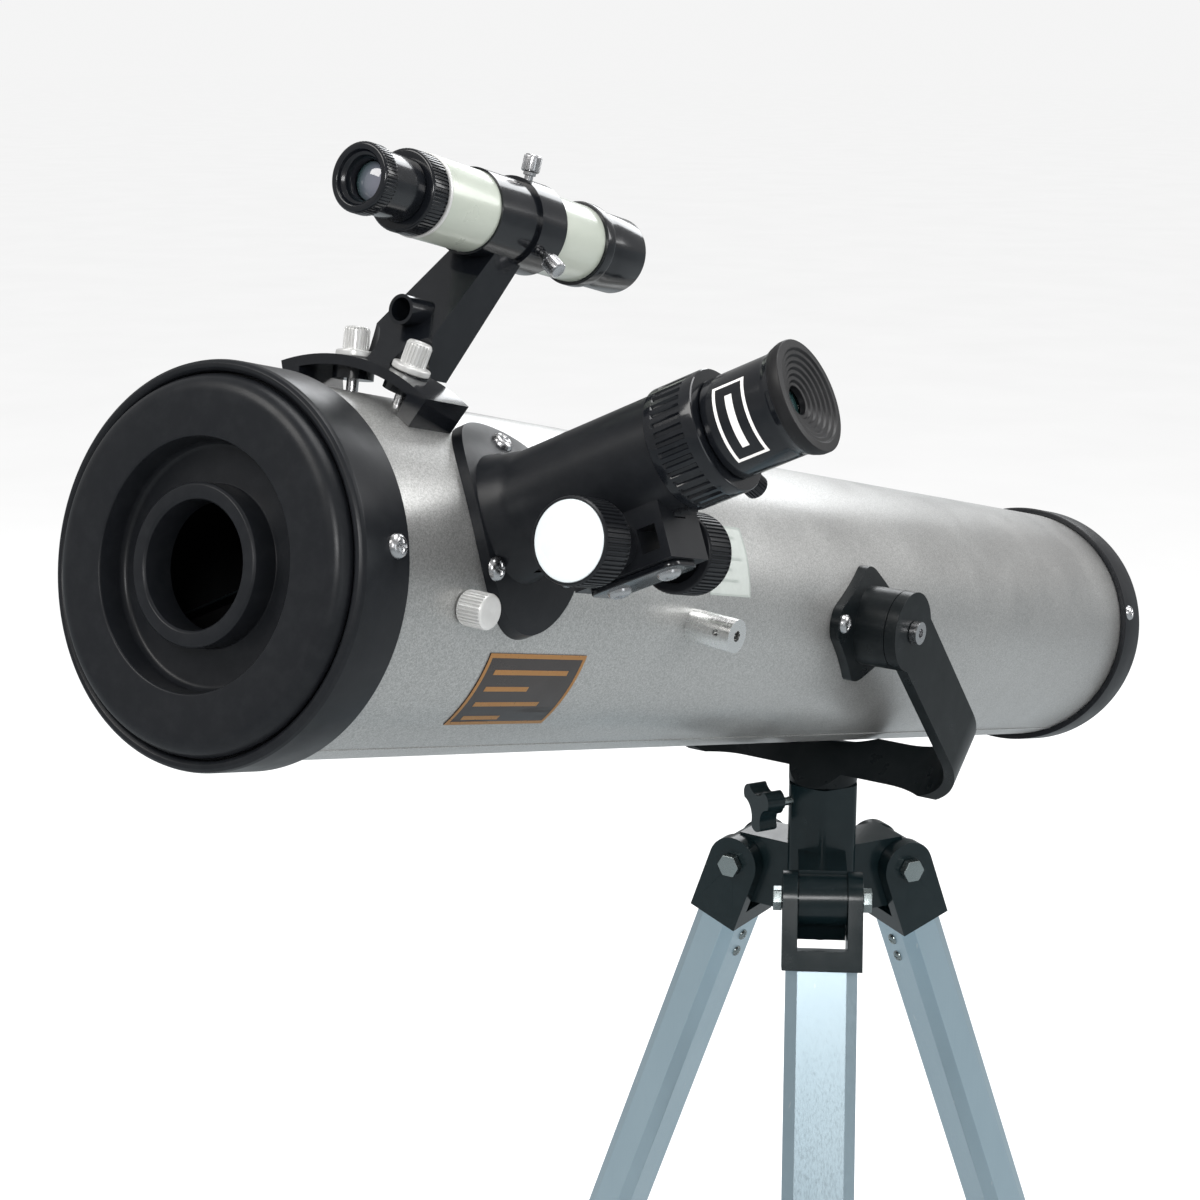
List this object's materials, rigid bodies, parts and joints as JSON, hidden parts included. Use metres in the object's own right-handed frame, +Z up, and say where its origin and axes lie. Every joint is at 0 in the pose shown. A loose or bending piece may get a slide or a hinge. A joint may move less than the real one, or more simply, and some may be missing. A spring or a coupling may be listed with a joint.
{
  "type": "reflector telescope on tripod",
  "caption": "Newtonian reflector telescope with side focuser, finder scope and dust cap, in a leaning yoke on a folding aluminium tripod.",
  "frame": {"origin": "on the floor, under the azimuth axis, midway between the three shoes", "axes": "+Z up, -Y the way the tube's front points, +X the focuser's side"},
  "size_m": [0.4397, 0.6673, 0.9719],
  "materials": {
    "tube_paint": "silver-grey metallic paint",
    "black_satin": "moulded satin black",
    "black_gloss": "gloss black with a cool tint",
    "black_metal": "satin black paint",
    "knob_plastic": "black moulding",
    "finder_paint": "pale grey-green enamel",
    "white_disc": "white insert",
    "silver_plastic": "white-silver moulding",
    "bright_steel": "polished",
    "zinc_steel": "zinc plated",
    "leg_aluminium": "satin anodised",
    "bright_aluminium": "polished",
    "mirror": "aluminised",
    "lens": "coated",
    "label": "dark foil with a copper border",
    "foot_rubber": "matt"
  },
  "bodies": {
    "tripod_head": {"tripod_head": "knob_plastic", "leg_hinge_bolts": "zinc_steel"},
    "yoke": {"yoke": "black_metal"},
    "optical_tube": {"main_tube": "tube_paint", "front_ring": "black_satin", "rear_ring": "black_satin", "rear_cover": "black_satin", "primary_mirror": "mirror", "spider": "black_metal", "secondary_mirror": "mirror", "pan_head_screws": "bright_steel", "trunnion_plates": "black_metal", "trunnion_bolts": "bright_steel", "focuser_housing": "black_satin", "pinion_cover": "black_gloss", "finder_bracket": "black_gloss", "threaded_studs": "bright_steel", "finder_tube": "finder_paint", "finder_end_cells": "black_gloss", "finder_objective": "lens", "rod_post": "bright_aluminium", "label_plate": "label"},
    "dust_cap": {"dust_cap": "black_satin"},
    "drawtube": {"drawtube": "black_satin", "drawtube_collar": "black_gloss"},
    "pinion": {"pinion_shaft": "bright_steel", "focus_knobs": "black_satin", "knob_discs": "white_disc"},
    "eyepiece": {"eyepiece_barrel": "bright_steel", "eyepiece_body": "black_gloss", "eyepiece_lenses": "lens"},
    "eyepiece_screw": {"eyepiece_screw": "black_gloss"},
    "finder_eyepiece": {"finder_eyepiece": "black_gloss", "finder_eye_lens": "lens"},
    "finder_screw_top": {"finder_screw_top": "bright_steel"},
    "finder_screw_left": {"finder_screw_left": "bright_steel"},
    "finder_screw_right": {"finder_screw_right": "bright_steel"},
    "bracket_nut_left": {"bracket_nut_left": "silver_plastic"},
    "bracket_nut_right": {"bracket_nut_right": "silver_plastic"},
    "side_thumb_nut": {"side_thumb_nut": "silver_plastic"},
    "azimuth_knob": {"azimuth_knob": "knob_plastic"},
    "spreader_hub": {"spreader_hub": "knob_plastic"},
    "leg_1": {"leg_fittings_1": "knob_plastic", "leg_upper_1": "leg_aluminium"},
    "leg_lower_1": {"leg_lower_1": "leg_aluminium", "leg_foot_1": "foot_rubber"},
    "leg_knob_1": {"leg_knob_1": "knob_plastic"},
    "brace_1": {"brace_1": "black_metal"},
    "leg_2": {"leg_fittings_2": "knob_plastic", "leg_upper_2": "leg_aluminium"},
    "leg_lower_2": {"leg_lower_2": "leg_aluminium", "leg_foot_2": "foot_rubber"},
    "leg_knob_2": {"leg_knob_2": "knob_plastic"},
    "brace_2": {"brace_2": "black_metal"},
    "leg_3": {"leg_fittings_3": "knob_plastic", "leg_upper_3": "leg_aluminium"},
    "leg_lower_3": {"leg_lower_3": "leg_aluminium", "leg_foot_3": "foot_rubber"},
    "leg_knob_3": {"leg_knob_3": "knob_plastic"},
    "brace_3": {"brace_3": "black_metal"}
  },
  "joints": [
    {"name": "azimuth", "type": "hinge", "parent": "tripod_head", "child": "yoke", "pos_m": [0, 0, 0.665], "axis": [0, 0, 1], "continuous": true},
    {"name": "altitude", "type": "hinge", "parent": "yoke", "child": "optical_tube", "pos_m": [0, -0.0791, 0.767], "axis": [1, 0, 0], "range_deg": [0, 74]},
    {"name": "cap_pull", "type": "slide", "parent": "optical_tube", "child": "dust_cap", "axis": [0, -0.9696, 0.2446], "range_m": [0, 0.04]},
    {"name": "focus_slide", "type": "slide", "parent": "optical_tube", "child": "drawtube", "axis": [0.8996, 0.1069, 0.4235], "range_m": [0, 0.035]},
    {"name": "pinion_spin", "type": "hinge", "parent": "optical_tube", "child": "pinion", "pos_m": [0.10233, -0.31582, 0.85068], "axis": [0, 0.9696, -0.2446], "range_deg": [0, 386.64]},
    {"name": "eyepiece_pull", "type": "slide", "parent": "drawtube", "child": "eyepiece", "axis": [0.8996, 0.1069, 0.4235], "range_m": [0, 0.04]},
    {"name": "eyepiece_screw_turn", "type": "hinge", "parent": "drawtube", "child": "eyepiece_screw", "pos_m": [0.12144, -0.30708, 0.88533], "axis": [0.2051, 0.7528, -0.6255], "range_deg": [0, 360]},
    {"name": "finder_focus", "type": "slide", "parent": "optical_tube", "child": "finder_eyepiece", "axis": [0, -0.9696, 0.2446], "range_m": [0, 0.008]},
    {"name": "finder_screw_top_turn", "type": "hinge", "parent": "optical_tube", "child": "finder_screw_top", "pos_m": [0.01422, -0.25607, 0.94035], "axis": [0.1132, 0.2431, 0.9634], "range_deg": [0, 360]},
    {"name": "finder_screw_left_turn", "type": "hinge", "parent": "optical_tube", "child": "finder_screw_left", "pos_m": [0.01422, -0.25607, 0.94035], "axis": [-0.9171, -0.0975, -0.3866], "range_deg": [0, 360]},
    {"name": "finder_screw_right_turn", "type": "hinge", "parent": "optical_tube", "child": "finder_screw_right", "pos_m": [0.01422, -0.25607, 0.94035], "axis": [0.8039, -0.1455, -0.5767], "range_deg": [0, 360]},
    {"name": "bracket_nut_left_turn", "type": "hinge", "parent": "optical_tube", "child": "bracket_nut_left", "pos_m": [0, -0.33896, 0.83256], "axis": [-0.0541, 0.2443, 0.9682], "range_deg": [0, 360]},
    {"name": "bracket_nut_right_turn", "type": "hinge", "parent": "optical_tube", "child": "bracket_nut_right", "pos_m": [0, -0.33896, 0.83256], "axis": [0.2773, 0.235, 0.9316], "range_deg": [0, 360]},
    {"name": "side_nut_turn", "type": "hinge", "parent": "optical_tube", "child": "side_thumb_nut", "pos_m": [0, -0.34671, 0.83452], "axis": [0.9994, -0.0085, -0.0338], "range_deg": [0, 360]},
    {"name": "azimuth_lock_turn", "type": "hinge", "parent": "tripod_head", "child": "azimuth_knob", "pos_m": [0, 0, 0.657], "axis": [-0.5, -0.866, 0], "range_deg": [0, 360]},
    {"name": "leg_fold_1", "type": "hinge", "parent": "tripod_head", "child": "leg_1", "pos_m": [0.019, -0.03291, 0.62], "axis": [0.866, 0.5, 0], "range_deg": [0, 16]},
    {"name": "leg_extend_1", "type": "slide", "parent": "leg_1", "child": "leg_lower_1", "axis": [0.171, -0.2962, -0.9397], "range_m": [0, 0.36]},
    {"name": "leg_knob_1_turn", "type": "hinge", "parent": "leg_1", "child": "leg_knob_1", "pos_m": [0.11511, -0.19937, 0.09189], "axis": [0.4698, -0.8138, 0.342], "range_deg": [0, 360]},
    {"name": "brace_fold_1", "type": "hinge", "parent": "leg_1", "child": "brace_1", "pos_m": [0.06698, -0.11601, 0.30374], "axis": [0.866, 0.5, 0], "range_deg": [0, 35.35]},
    {"name": "leg_fold_2", "type": "hinge", "parent": "tripod_head", "child": "leg_2", "pos_m": [0.019, 0.03291, 0.62], "axis": [-0.866, 0.5, 0], "range_deg": [0, 16]},
    {"name": "leg_extend_2", "type": "slide", "parent": "leg_2", "child": "leg_lower_2", "axis": [0.171, 0.2962, -0.9397], "range_m": [0, 0.36]},
    {"name": "leg_knob_2_turn", "type": "hinge", "parent": "leg_2", "child": "leg_knob_2", "pos_m": [0.11511, 0.19937, 0.09189], "axis": [0.4698, 0.8138, 0.342], "range_deg": [0, 360]},
    {"name": "brace_fold_2", "type": "hinge", "parent": "leg_2", "child": "brace_2", "pos_m": [0.06698, 0.11601, 0.30374], "axis": [-0.866, 0.5, 0], "range_deg": [0, 35.35]},
    {"name": "leg_fold_3", "type": "hinge", "parent": "tripod_head", "child": "leg_3", "pos_m": [-0.038, 0, 0.62], "axis": [0, -1, 0], "range_deg": [0, 16]},
    {"name": "leg_extend_3", "type": "slide", "parent": "leg_3", "child": "leg_lower_3", "axis": [-0.342, 0, -0.9397], "range_m": [0, 0.36]},
    {"name": "leg_knob_3_turn", "type": "hinge", "parent": "leg_3", "child": "leg_knob_3", "pos_m": [-0.23022, 0, 0.09189], "axis": [-0.9397, 0, 0.342], "range_deg": [0, 360]},
    {"name": "brace_fold_3", "type": "hinge", "parent": "leg_3", "child": "brace_3", "pos_m": [-0.13395, 0, 0.30374], "axis": [0, -1, 0], "range_deg": [0, 35.35]},
    {"name": "hub_lift", "type": "slide", "parent": "tripod_head", "child": "spreader_hub", "axis": [0, 0, 1], "range_m": [0, 0.04791]}
  ],
  "couplings": [
    {"joint": "pinion_spin", "follows": "focus_slide", "rad_per_m": 192.31},
    {"joint": "brace_fold_1", "follows": "leg_fold_1", "ratio": 2.2086},
    {"joint": "leg_fold_2", "follows": "leg_fold_1", "ratio": 1},
    {"joint": "brace_fold_2", "follows": "leg_fold_1", "ratio": 2.2086},
    {"joint": "leg_fold_3", "follows": "leg_fold_1", "ratio": 1},
    {"joint": "brace_fold_3", "follows": "leg_fold_1", "ratio": 2.2086},
    {"joint": "hub_lift", "follows": "leg_fold_1", "m_per_rad": 0.1712}
  ]
}
